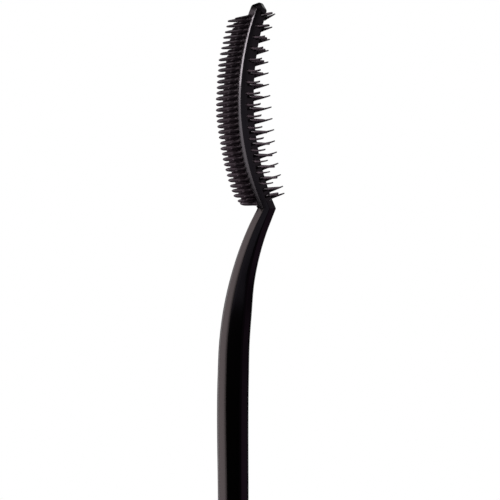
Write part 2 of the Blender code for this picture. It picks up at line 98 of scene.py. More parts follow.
# (distance from the tip in mm, share of the section)
TIP_CURVE = (
    (1.30, 1.0), (0.85, 0.985), (0.66, 0.95), (0.60, 0.92), (0.45, 0.76), (0.27, 0.56), (0.12, 0.39),
    (0.04, 0.30), (0.0, 0.22),
)
TIP_DEPTH_TAPER = 0.3
# The section's measures are all in half widths of the core.
SECTION_DEPTH = 0.92
SECTION_CHAMFER = 0.69
FLAT = 1 - SECTION_CHAMFER  # half the width of the front face
SIDE_FLAT = SECTION_DEPTH - SECTION_CHAMFER
EDGE_ROUNDING = 0.045
KNOB_ROUNDING = 0.015
# At each share of the head's length: where each lip starts and ends, and how much of its full height it has.
LIP_START = ((0.0, 0.31), (0.5, 0.31), (0.75, 0.25), (1.0, 0.25))
LIP_END = ((0.0, 0.78), (0.2, 0.80), (0.28, 0.74), (0.4, 0.70), (0.5, 0.60), (0.75, 0.52), (1.0, 0.47))
LIP_PROUD = ((0.0, 1.0), (0.925, 1.0), (0.945, 0.0))
LIP_RISE = math.tan(math.radians(20))
LIP_FOOT = 0.03
STRIP_SHARE = 0.4 * MM / CORE_HALF_WIDTH  # thickness of the soft strips
STRIP_OVERLAP = 0.01
BED_CHAMFER = 0.2
SADDLE_EDGE = 0.10
CORNER_SHIFT = 0.4  # about how far a chamfer's corner slides when both its faces move by 1
CUT_REACH = 0.5  # how far the strips' channels are cut beyond the core's surface
CHANNEL_GAP = 0.008 * MM / CORE_HALF_WIDTH

COMB_STRIP = (0.85 * MM, 25.9 * MM)
LIFT_STRIP = (0.85 * MM, 26.3 * MM)
CHANNEL_END_GAP = 0.01 * MM
HOLE_GAP = 0.03 * MM
PEG_PLACES = (7.5 * MM, 12 * MM, 16.5 * MM, 21 * MM)
PEG_RADIUS = 0.25 * MM
PEG_LENGTH = 0.45 * MM
PEG_ROOT = 0.2 * MM
PIN_RADIUS = 0.42 * MM
PIN_LENGTH = 4 * MM
PIN_ROOT = 0.6 * MM

# --- bristles -----------------------------------------------------------------------------------------
# At each share of the way from the lowest bristle (0) to the highest of the middle row (1): how far the tips
# stand from the core's centre line, in metres,
COMB_REACH = (
    (0.0, 0.00300), (0.04, 0.00345), (0.25, 0.00352), (0.5, 0.00364), (0.8, 0.00356), (1.0, 0.00340),
)
COMB_SIDE_REACH = (
    (0.0, 0.00270), (0.04, 0.00300), (0.25, 0.00312), (0.5, 0.00318), (0.7, 0.00290), (1.0, 0.00300),
)
LIFT_REACH = (
    (0.0, 0.00290), (0.06, 0.00315), (0.2, 0.00355), (0.35, 0.00370), (0.5, 0.00367), (0.6, 0.00333),
    (0.7, 0.00300), (0.8, 0.00268), (0.9, 0.00246), (1.0, 0.00222),
)
SIDE_REACH = (
    (0.0, 0.00250), (0.06, 0.00335), (0.2, 0.00355), (0.3, 0.00352), (0.5, 0.00315), (0.8, 0.00275),
    (1.0, 0.00235),
)
EDGE_REACH = ((0.0, 0.00300), (0.3, 0.00340), (0.5, 0.00340), (0.8, 0.00300), (1.0, 0.00260))
# how many degrees they slope, the comb's tips down towards the stem and the lifting bristles' up,
COMB_SLOPE = ((0.0, 2.0), (0.08, 4.0), (0.3, 7.5), (0.5, 10.0), (0.75, 10.0), (1.0, 8.0))
COMB_SIDE_SLOPE = ((0.0, 0.0), (0.08, 2.0), (0.3, 4.0), (0.5, 6.5), (0.75, 8.0), (1.0, 8.0))
LIFT_SLOPE = ((0.0, 15.0), (0.1, 18.0), (0.3, 14.0), (0.5, 11.0), (0.9, 9.0), (1.0, 24.0))
SIDE_SLOPE = ((0.0, 13.0), (0.06, 4.0), (0.2, -1.0), (0.6, -1.5), (0.9, 0.0), (1.0, 12.0))
EDGE_SLOPE = ((0.0, 1.5), (0.3, 3.0), (1.0, 3.5))
# the angle of their roots round the core, in degrees,
MIDDLE_ROOT = ((0.0, 0),)
SIDE_ROOT = ((0.0, 13), (0.3, 14), (0.5, 20), (1.0, 20))
OUTER_ROOT = ((0.0, 20), (0.3, 23), (0.5, 31), (0.8, 34), (1.0, 36))
# and their radius just behind the tip and the length of the rounded tip, both in mm.
COMB_TIPS = (
    (0.0, 0.240, 0.60), (0.15, 0.270, 0.70), (0.45, 0.300, 0.75), (0.68, 0.255, 0.72), (0.85, 0.125, 0.25),
    (1.0, 0.108, 0.16),
)
COMB_SIDE_TIPS = ((0.0, 0.150, 0.28), (0.6, 0.160, 0.30), (1.0, 0.130, 0.24))
LIFT_TIPS = ((0.0, 0.080, 0.10), (1.0, 0.085, 0.10))
LIFT_SIDE_TIPS = ((0.0, 0.110, 0.10), (1.0, 0.105, 0.10))
LIFT_EDGE_TIPS = ((0.0, 0.075, 0.10), (1.0, 0.075, 0.10))

# A row: the place of its first regular bristle, its pitch and how many it has; its root angles, the angle of
# its bristles, their reach and slope, their root radius and tips. A taper above 0 makes their outline bulge
# and one below -1 makes it hollow, and sag and swing curve them.
Row = namedtuple("Row", "first pitch count roots turn reach slope root_radius tips taper sag swing")
COMB_ROWS = (
    Row(1.60, 0.707, 34, MIDDLE_ROOT, 0, COMB_REACH, COMB_SLOPE, 0.30, COMB_TIPS, 1.8, 0.07, 0),
    Row(1.88, 0.707, 34, SIDE_ROOT, 33, COMB_SIDE_REACH, COMB_SIDE_SLOPE, 0.19, COMB_SIDE_TIPS, 2.2, 0, 0),
    Row(2.06, 0.707, 34, OUTER_ROOT, 57, COMB_SIDE_REACH, COMB_SIDE_SLOPE, 0.18, COMB_SIDE_TIPS, 1.8, 0, 0),
)
LIFT_ROWS = (
    Row(2.10, 1.57, 16, MIDDLE_ROOT, 0, LIFT_REACH, LIFT_SLOPE, 0.27, LIFT_TIPS, -1.5, 0.12, 0),
    Row(2.41, 1.57, 16, ((0.0, 38),), 34, SIDE_REACH, SIDE_SLOPE, 0.22, LIFT_SIDE_TIPS, -0.9, 0, 0),
    Row(3.40, 1.497, 15, ((0.0, 70),), 38, EDGE_REACH, EDGE_SLOPE, 0.18, LIFT_EDGE_TIPS, -1.6, 0.22, 0.3),
)
LOWEST = 1.2 * MM  # one more station below the regular ones, in the rows that start near it
STARTS_LOW = 3 * MM
SUNK = 0.18 * MM
FLARE = 0.05 * MM
FLARE_LENGTH = 0.12 * MM
SLOPE_CHANCE = 1.0
TURN_CHANCE = 1.2
REACH_CHANCE = (0.985, 1.01)
BRISTLE_SIDES = 12
BRISTLE_RINGS = 12
NOSE_TURNS = (20, 40, 58, 74, 84)
BISECTIONS = 30

# --- the cap and the stem's plug, in mm ---------------------------------------------------------------
GAP = FIT_GAP / MM
FLANGE_RADIUS, FLANGE_HEIGHT, FLANGE_CHAMFER = 3.5, 1.2, 0.3
PLUG_RADIUS = 2.3
BARB_RADIUS, BARB_TIP_RADIUS, BARB_LENGTH, BARB_CREST = 2.6, 2.1, 1.0, 0.3
CAP_WALL = 1.2
RIM_RADIUS, RIM_THICKNESS = 7.85, 0.3
SOCKET_RADIUS = 7.3
BEAD_HEIGHT, SNAP_BEAD, BEAD_FLAT, BEAD_FOOT = 42.3, 0.3, 0.2, 0.7
INSERT_RADIUS, INSERT_FLOOR, INSERT_CHAMFER = 8.4, 1.5, 0.3
BOSS_RADIUS = 4.2
WASHER_THICKNESS, WASHER_INNER_GAP, WASHER_OUTER_GAP = 1.0, 0.15, 0.2
DISC_THICKNESS, DISC_GAP = 1.9, 0.1
WEIGHT_HEIGHT, WEIGHT_HOLE, WEIGHT_GAP = 6.0, 2.5, 0.2


def read_table(table, at):
    """The table's second column at this value of its first."""
    keys, values = zip(*table)
    return float(np.interp(at, keys, values))


# --- mesh helpers -------------------------------------------------------------------------------------
def mesh_object(name, bm, crease=30):
    """A new object that holds the bmesh, smooth except at edges sharper than crease degrees."""
    bmesh.ops.recalc_face_normals(bm, faces=bm.faces)
    mesh = bpy.data.meshes.new(name)
    bm.to_mesh(mesh)
    bm.free()
    made = bpy.data.objects.new(name, mesh)
    bpy.context.scene.collection.objects.link(made)
    return set_creases(made, crease)


def set_creases(made, degrees):
    """Shades the object smooth except at edges sharper than this."""
    made.data.shade_smooth()
    made.data.set_sharp_from_angle(angle=math.radians(degrees))
    return made


def loft(rings, bm=None):
    """Adds a closed skin through rings of points to the bmesh."""
    bm = bm or bmesh.new()
    loops = [[bm.verts.new(point) for point in ring] for ring in rings]
    count = len(loops[0])
    for lower, upper in zip(loops, loops[1:]):
        for i in range(count):
            j = (i + 1) % count
            bm.faces.new((lower[i], lower[j], upper[j], upper[i]))
    bm.faces.new(loops[0][::-1])
    bm.faces.new(loops[-1])
    return bm


def soften(outline, radius, steps=3, most=0.45):
    """The outline, (x, y) points, with its corners rounded off over at most this share of each side."""
    made = []
    points = [Vector(point) for point in outline]
    for i, corner in enumerate(points):
        before, after = points[i - 1] - corner, points[(i + 1) % len(points)] - corner
        start = corner + before * min(radius / before.length, most)
        end = corner + after * min(radius / after.length, most)
        for step in range(steps):
            t = step / (steps - 1)
            made.append(tuple(start * (1 - t) ** 2 + corner * 2 * t * (1 - t) + end * t**2))
    return made


def turned(name, outline, radius=0.0, segments=160):
    """A closed solid: the outline, (radius, height) in mm, rounded and spun about the Z axis."""
    points = [(x * MM, z * MM) for x, z in outline]
    if radius:
        points = soften(points, radius * MM, 4)
    turns = [2 * math.pi * i / segments for i in range(segments)]
    bm = bmesh.new()
    rings = []
    for x, z in points:
        on_axis = x < 1e-6
        circle = [(0, 0, z)] if on_axis else [(x * math.cos(a), x * math.sin(a), z) for a in turns]
        rings.append([bm.verts.new(point) for point in circle])
    for lower, upper in zip(rings, rings[1:] + rings[:1]):
        for i in range(segments):
            j = (i + 1) % segments
            corners = [ring[k % len(ring)] for ring, k in ((lower, i), (lower, j), (upper, j), (upper, i))]
            corners = list(dict.fromkeys(corners))
            if len(corners) > 2:
                bm.faces.new(corners)
    return mesh_object(name, bm)


def rod(bm, start, end, radius, sides=24):
    """Adds a round rod from start to end."""
    along = (end - start).normalized()
    side = along.cross(Vector((0, 1, 0.01))).normalized()
    other = along.cross(side)
    turns = [2 * math.pi * i / sides for i in range(sides)]
    circle = [(side * math.cos(a) + other * math.sin(a)) * radius for a in turns]
    return loft([[place + point for point in circle] for place in (start, end)], bm)


def clean_up(mesh):
    """Takes out the slivers that a boolean leaves, with the folded or dangling faces that come of it."""
    bm = bmesh.new()
    bm.from_mesh(mesh)
    bmesh.ops.triangulate(bm, faces=bm.faces)
    bmesh.ops.remove_doubles(bm, verts=bm.verts, dist=SLIVER)
    bmesh.ops.dissolve_degenerate(bm, dist=SLIVER, edges=bm.edges)
    bmesh.ops.triangulate(bm, faces=bm.faces)
    for _ in range(CLEANING_ROUNDS):
        by_corners = {}
        for face in bm.faces:
            by_corners.setdefault(frozenset(face.verts), []).append(face)
        stray = {face for twins in by_corners.values() if len(twins) > 1 for face in twins}
        stray |= {face for edge in bm.edges if len(edge.link_faces) == 1 for face in edge.link_faces}
        bmesh.ops.delete(bm, geom=list(stray), context="FACES")
    if all(edge.is_manifold for edge in bm.edges):
        bm.to_mesh(mesh)
    bm.free()


def joined(base, others, operation="UNION"):
    """Joins or cuts base with each of the other objects, which are used up."""
    for other in others:
        step = base.modifiers.new(other.name, "BOOLEAN")
        step.operation = operation
        step.object = other
        step.solver = "MANIFOLD"
    bpy.context.view_layer.update()
    graph = bpy.context.evaluated_depsgraph_get()
    mesh = bpy.data.meshes.new_from_object(base.evaluated_get(graph))
    clean_up(mesh)
    base.modifiers.clear()
    base.data = mesh
    for other in others:
        bpy.data.objects.remove(other)
    return base


# --- the head's arc and sections ----------------------------------------------------------------------
class Station:
    """A place along the head's arc: its centre, its frame and the core's size there."""

    def __init__(self, along):
        lean = along / ARC_RADIUS - KNEE_LEAN
        self.hollow = Vector((math.cos(lean), 0, -math.sin(lean)))
        self.up = Vector((math.sin(lean), 0, math.cos(lean)))
        self.centre = ARC_CENTRE - ARC_RADIUS * self.hollow
        self.half_width = CORE_HALF_WIDTH * read_table(CORE_SWELL, along / HEAD_LENGTH)

    def point(self, across, deep):
        """A point of the section, given in half widths of the core."""
        return self.centre + self.hollow * (across * self.half_width) + Vector((0, deep * self.half_width, 0))

    def surface(self, direction):
        """How far the core's outer surface lies from the centre line along a direction."""
        across, deep = abs(direction.dot(self.hollow)), abs(direction.y)
        corner = self.half_width * (1 + SECTION_DEPTH - SECTION_CHAMFER)
        flat = self.half_width * SECTION_DEPTH
        return min(self.half_width / max(across, 1e-9), flat / max(deep, 1e-9), corner / (across + deep))


def octagon(w, d, chamfer):
    """A rectangle's outline with its corners cut, w and d from its centre."""
    return [
        (-w, -(d - chamfer)), (-(w - chamfer), -d), (w - chamfer, -d), (w, -(d - chamfer)),
        (w, d - chamfer), (w - chamfer, d), (-(w - chamfer), d), (-w, d - chamfer),
    ]


CORE_SECTION = octagon(1, SECTION_DEPTH, SECTION_CHAMFER)


def mirrored(half):
    """The back half of a section, in the order that closes its outline."""
    return [(x, -y) for x, y in reversed(half)]


def core_section(along):
    """Outline of the core, whose chamfers on the comb's side carry a shallower lip."""
    tables = LIP_START, LIP_END, LIP_PROUD
    start, end, proud = (read_table(table, along / HEAD_LENGTH) for table in tables)
    start = start * proud + FLAT * (1 - proud)
    crest = SECTION_DEPTH - (end - start) * (LIP_RISE * proud + 1 - proud)
    root = end + LIP_FOOT
    front = [
        (-1, -SIDE_FLAT),
        (-root, -(SECTION_DEPTH - root + FLAT)),
        (-end, -crest),
        (-start, -SECTION_DEPTH),
    ]
    return front + CORE_SECTION[2:6] + mirrored(front)


def comb_section(along, grow=0.0, reach=0.0):
    """Outline of the comb strip, between the two bare lips of the convex side."""
    lip_across = read_table(LIP_END, along / HEAD_LENGTH) + STRIP_OVERLAP
    lip_deep = SECTION_DEPTH + FLAT - lip_across
    step, widen = STRIP_SHARE / math.sqrt(2), grow / math.sqrt(2)
    bed = 1 - STRIP_SHARE - grow
    bend = min(SIDE_FLAT + STRIP_SHARE * (1 - math.sqrt(2)) - grow * CORNER_SHIFT, lip_deep - step)
    half = [
        (-bed, -bend),
        (-max(lip_across - step - 2 * widen, bed - BED_CHAMFER), -(lip_deep - step)),
        (-(lip_across - widen), -(lip_deep + widen)),
    ]
    if reach:
        half.append((-(lip_across - widen + reach), -(lip_deep + widen + reach)))
    half.append((-(1 + reach), -SIDE_FLAT - reach * CORNER_SHIFT))
    return half + mirrored(half)


def saddle_section(_along, grow=0.0, reach=0.0):
    """Outline of the lifting strip, which wraps the concave side in the same way all along the head."""
    inner = SECTION_DEPTH - STRIP_SHARE - grow
    half = [
        (1 - STRIP_SHARE - grow, -(SIDE_FLAT + STRIP_SHARE * (1 - math.sqrt(2)))),
        (FLAT - STRIP_SHARE * (math.sqrt(2) - 1) - grow * CORNER_SHIFT, -inner),
        (SADDLE_EDGE - grow, -inner),
        (SADDLE_EDGE - grow, -(SECTION_DEPTH + reach)),
        (FLAT + reach * CORNER_SHIFT, -(SECTION_DEPTH + reach)),
        (1 + reach, -SIDE_FLAT - reach * CORNER_SHIFT),
    ]
    return half + mirrored(half)


def sweep(section, start, end, radius=0.0, **settings):
    """Rings of a section along the arc, with its corners rounded to this radius in half widths."""
    made = []
    for along in np.linspace(start, end, HEAD_RINGS):
        place, outline = Station(along), section(along, **settings)
        made.append([place.point(*corner) for corner in (soften(outline, radius) if radius else outline)])
    return made


def mitre(section, height):
    """The head's section where it is cut level at this height above the knee."""
    foot = Station(0)
    corners = [foot.point(*corner) for corner in section]
    return [corner + foot.up * ((KNEE.z + height - corner.z) / foot.up.z) for corner in corners]


# --- the core and the stem ----------------------------------------------------------------------------
def pegs(name, side, grow):
    """The pegs that key a soft strip into the core, or their holes."""
    bm = bmesh.new()
    for along in PEG_PLACES:
        station = Station(along)
        bed = station.half_width * (1 - STRIP_SHARE)
        start = station.centre + station.hollow * side * (bed + PEG_ROOT)
        end = station.centre + station.hollow * side * (bed - PEG_LENGTH - grow)
        rod(bm, start, end, PEG_RADIUS + grow)
    return mesh_object(name, bm)


def pin(name, grow):
    """The stem's pin inside the head, or its bore."""
    middle = Station(PIN_LENGTH / 2)
    foot = middle.centre - middle.up * (PIN_LENGTH / 2)
    start, end = foot - middle.up * PIN_ROOT, foot + middle.up * (PIN_LENGTH + grow)
    return mesh_object(name, rod(bmesh.new(), start, end, PIN_RADIUS + grow))


def channel(name, section, strip):
    """What is cut out of the core for a soft strip."""
    start, end = strip
    rings = sweep(section, start - CHANNEL_END_GAP, end + CHANNEL_END_GAP, grow=CHANNEL_GAP, reach=CUT_REACH)
    return mesh_object(name, loft(rings))


def make_core():
    """The stiff bar of the head: mitred at the knee, with lips beside the comb and a faceted knob."""
    rings = [mitre(soften(core_section(0), EDGE_ROUNDING), SEAM_GAP)]
    rings += sweep(core_section, MITRE_RISE, HEAD_LENGTH - TIP_CURVE[0][0] * MM, EDGE_ROUNDING)
    section = soften(core_section(HEAD_LENGTH), KNOB_ROUNDING)
    for from_tip, share in TIP_CURVE[1:]:
        place = Station(HEAD_LENGTH - from_tip * MM)
        depth = 1 - (1 - share) * TIP_DEPTH_TAPER
        rings.append([place.point(x * share, y * depth) for x, y in section])
    core = mesh_object("brush_core", loft(rings))
    cutters = [
        channel("comb_channel", comb_section, COMB_STRIP),
        channel("saddle_seat", saddle_section, LIFT_STRIP),
        pegs("comb_holes", -1, HOLE_GAP),
        pegs("saddle_holes", 1, HOLE_GAP),
        pin("pin_bore", HOLE_GAP),
    ]
    return set_creases(joined(core, cutters, "DIFFERENCE"), 30)


def smooth_run(count):
    """(height, offset, width) at evenly spaced heights, on one smooth curve through STEM_RUN."""
    knots = np.array(STEM_RUN)
    slopes = np.gradient(knots, knots[:, 0], axis=0)
    slopes[0, 1:] = 0
    slopes[-1, 1] = math.tan(KNEE_LEAN)
    run = []
    for height in np.linspace(knots[0, 0], knots[-1, 0], count):
        i = min(int(np.searchsorted(knots[:, 0], height, side="right")) - 1, len(knots) - 2)
        span = knots[i + 1, 0] - knots[i, 0]
        t = (height - knots[i, 0]) / span
        point = (
            (2 * t**3 - 3 * t**2 + 1) * knots[i] + (t**3 - 2 * t**2 + t) * span * slopes[i]
            + (3 * t**2 - 2 * t**3) * knots[i + 1] + (t**3 - t**2) * span * slopes[i + 1]
        )
        run.append((height, float(point[1]), float(point[2])))
    return run


def stem_ring(height, offset, width, lean):
    """The stem's octagon at this height above the cap's mouth, with softer edges below the bend."""
    share = min(max(height / STEM_RUN[-1][0], 0), 1)
    chamfer = FOOT_CHAMFER + (NECK_CHAMFER - FOOT_CHAMFER) * share**2
    blend = min(max((STEM_RUN[-1][0] - height) / ROUNDING_RUN, 0), 1)
    crisp, soft = STEM_ROUNDING
    across = Vector((math.cos(lean), 0, -math.sin(lean)))
    centre = Vector((offset, 0, MOUTH + height))
    section = soften(octagon(width / 2, width / 2, chamfer), crisp + (soft - crisp) * blend, 7)
    return [centre + across * x + Vector((0, y, 0)) for x, y in section]


def stem_plug():
    """The stem's round foot: a flange on the socket's floor, and a barbed plug through the boss."""
    floor = SOCKET_FLOOR / MM + GAP
    barb = BOSS_END / MM - GAP
    return turned("stem_foot", [
        (0, barb - BARB_LENGTH),
        (BARB_TIP_RADIUS, barb - BARB_LENGTH),
        (BARB_RADIUS, barb - BARB_CREST),
        (BARB_RADIUS, barb),
        (PLUG_RADIUS, barb),
        (PLUG_RADIUS, floor),
        (FLANGE_RADIUS, floor),
        (FLANGE_RADIUS, floor + FLANGE_HEIGHT - FLANGE_CHAMFER),
        (FLANGE_RADIUS - FLANGE_CHAMFER, floor + FLANGE_HEIGHT),
        (0, floor + FLANGE_HEIGHT),
    ], segments=96)


def make_stem():
    """The swan neck up to the knee's mitre, with its pin and its plug."""
    run = smooth_run(STEM_RINGS)
    rings = [stem_ring(SOCKET_FLOOR + STEM_FOOT - MOUTH, 0, STEM_RUN[0][2], 0)]
    for i, (height, offset, width) in enumerate(run[:-RINGS_TO_MITRE]):
        before, after = run[max(i - 1, 0)], run[i + 1]
        lean = math.atan2(after[1] - before[1], after[0] - before[0])
        rings.append(stem_ring(height, offset, width, lean))
    rings.append(mitre(soften(CORE_SECTION, EDGE_ROUNDING, 7), 0))
    stem = mesh_object("swan_neck_stem", loft(rings))
    return set_creases(joined(stem, [pin("stem_pin", 0), stem_plug()]), 20)


# --- the soft strips and their bristles ---------------------------------------------------------------
def reach_of(point):
    """How far a point lies from the core's centre line."""
    return math.hypot(math.hypot(point.x - ARC_CENTRE.x, point.z - ARC_CENTRE.z) - ARC_RADIUS, point.y)


def length_to(reach, skin, direction):
    """How long a bristle from this point of the skin is when its tip stands at this reach."""
    short, long = 0.0, 2 * reach
    for _ in range(BISECTIONS):
        middle = (short + long) / 2
        if reach_of(skin + direction * middle) < reach:
            short = middle
        else:
            long = middle
    return long


def spine(bm, skin, direction, length, row, share, front):
    """Adds one bristle: a tapered, slightly curved spine with a flared root and a rounded tip."""
    side = Vector((0, 0, 1)).cross(direction).normalized()
    lift = direction.cross(side)
    curve = lift * row.sag + side * (front * row.swing)
    root_radius = row.root_radius * MM
    tip_radius, nose = (read_table([(tip[0], tip[i]) for tip in row.tips], share) * MM for i in (1, 2))
    start, shoulder = -SUNK / length, 1 - nose / length
    steps = [(start + (shoulder - start) * i / BRISTLE_RINGS, 1.0) for i in range(BRISTLE_RINGS + 1)]
    for turn in map(math.radians, NOSE_TURNS):
        steps.append((shoulder + (1 - shoulder) * math.sin(turn), math.cos(turn)))
    rings = []
    for t, rounding in steps:
        run = min(max(t, 0), 1)
        shape = 1 - run**row.taper if row.taper > 0 else (1 - run) ** -row.taper
        radius = tip_radius + (root_radius - tip_radius) * shape
        radius += FLARE * math.exp(-max(t, 0) * length / FLARE_LENGTH)
        centre = skin + direction * (length * t) + curve * (length * (t * t - t))
        rings.append([
            centre + (side * math.cos(a) + lift * math.sin(a)) * (radius * rounding)
            for a in (2 * math.pi * k / BRISTLE_SIDES for k in range(BRISTLE_SIDES))
        ])
    loft(rings, bm)


def bristle(bm, row, side, front, along, share, chance):
    """Adds the bristle at this place of a row, with a little chance in its slope, angle and reach."""
    station = Station(along)
    root_angle = math.radians(front * read_table(row.roots, share))
    radial = station.hollow * side * math.cos(root_angle) - Vector((0, math.sin(root_angle), 0))
    slope = math.radians(read_table(row.slope, share) + chance.uniform(-SLOPE_CHANCE, SLOPE_CHANCE))
    turn = math.radians(front * row.turn) + math.radians(chance.uniform(-TURN_CHANCE, TURN_CHANCE))
    across, deep = side * math.cos(slope) * math.cos(turn), -math.cos(slope) * math.sin(turn)
    direction = Vector((across, deep, side * math.sin(slope)))
    skin = station.centre + radial * station.surface(radial)
    reach = read_table(row.reach, share) * chance.uniform(*REACH_CHANCE)
    spine(bm, skin, direction, length_to(reach, skin, direction), row, share, front)


def bristle_rows(name, side, rows, seed):
    """Two objects for each row of bristles, so that neighbours never touch within one."""
    made = []
    chance = random.Random(seed)
    middle = rows[0]
    highest = middle.first * MM + (middle.count - 1) * middle.pitch * MM
    for row in rows:
        places = [(row.first + index * row.pitch) * MM for index in range(row.count)]
        if places[0] < STARTS_LOW:
            places.insert(0, LOWEST + places[0] - middle.first * MM)
        for front in (1, -1) if row.turn else (1,):
            halves = bmesh.new(), bmesh.new()
            for index, along in enumerate(places):
                share = (along - LOWEST) / (highest - LOWEST)
                bristle(halves[index % 2], row, side, front, along, share, chance)
            made += [mesh_object(f"{name}_row_{front * row.turn}", bm) for bm in halves]
    return made


def make_strip(name, side, section, strip, rows, seed):
    """A soft strip in one with its bristles and its pegs."""
    base = mesh_object(name, loft(sweep(section, *strip)))
    others = bristle_rows(name, side, rows, seed)
    others.append(pegs(name + "_pegs", side, 0.0))
    return set_creases(joined(base, others), 32)


# --- the cap ------------------------------------------------------------------------------------------
def make_cap():
    """The cap's six turned pieces by their CAD nodes, each rounded to a radius in mm."""
    mouth, floor, boss = MOUTH / MM, SOCKET_FLOOR / MM, BOSS_END / MM
    outer, collar_low, shell_low = CAP_RADIUS / MM, COLLAR_LOW / MM, SHELL_LOW / MM
    bore = outer - CAP_WALL
    rim = mouth - RIM_THICKNESS
    insert_top, insert_low = rim - GAP, floor - INSERT_FLOOR
    boss_bore = PLUG_RADIUS + GAP
    washer_inner, washer_outer = FLANGE_RADIUS + WASHER_INNER_GAP, SOCKET_RADIUS - WASHER_OUTER_GAP
    washer_low, washer_top = floor + GAP, floor + GAP + WASHER_THICKNESS
    disc = bore - DISC_GAP
    weight_low, weight_top = DISC_THICKNESS + GAP, DISC_THICKNESS + GAP + WEIGHT_HEIGHT
    slug = bore - WEIGHT_GAP
    outlines = {
        "cap_insert": ("inner_cap", 0.12, [
            (boss_bore, boss), (boss_bore, floor), (SOCKET_RADIUS, floor),
            (SOCKET_RADIUS, BEAD_HEIGHT - BEAD_FOOT), (SOCKET_RADIUS - SNAP_BEAD, BEAD_HEIGHT - BEAD_FLAT),
            (SOCKET_RADIUS - SNAP_BEAD, BEAD_HEIGHT + BEAD_FLAT), (SOCKET_RADIUS, BEAD_HEIGHT + BEAD_FOOT),
            (SOCKET_RADIUS, insert_top - INSERT_CHAMFER), (SOCKET_RADIUS + INSERT_CHAMFER, insert_top),
            (INSERT_RADIUS, insert_top), (INSERT_RADIUS, insert_low), (BOSS_RADIUS, insert_low),
            (BOSS_RADIUS, boss),
        ]),
        "seal_washer": ("sealing_washer", 0.1, [
            (washer_inner, washer_low), (washer_inner, washer_top), (washer_outer, washer_top),
            (washer_outer, washer_low),
        ]),
        "collar_ring": ("collar_trim", 0.22, [
            (bore, collar_low), (bore, rim), (RIM_RADIUS, rim), (RIM_RADIUS, mouth), (outer, mouth),
            (outer, collar_low),
        ]),
        "cap_shell": ("cap_tube", 0.3, [
            (bore, shell_low), (bore, collar_low - GAP), (outer, collar_low - GAP), (outer, shell_low),
        ]),
        "end_disc": ("end_inlay", 0.0, [(0, 0), (disc, 0), (disc, DISC_THICKNESS), (0, DISC_THICKNESS)]),
        "cap_weight": ("steel_slug", 0.25, [
            (WEIGHT_HOLE, weight_low), (WEIGHT_HOLE, weight_top), (slug, weight_top), (slug, weight_low),
        ]),
    }
    return {node: turned(name, outline, radius) for node, (name, radius, outline) in outlines.items()}


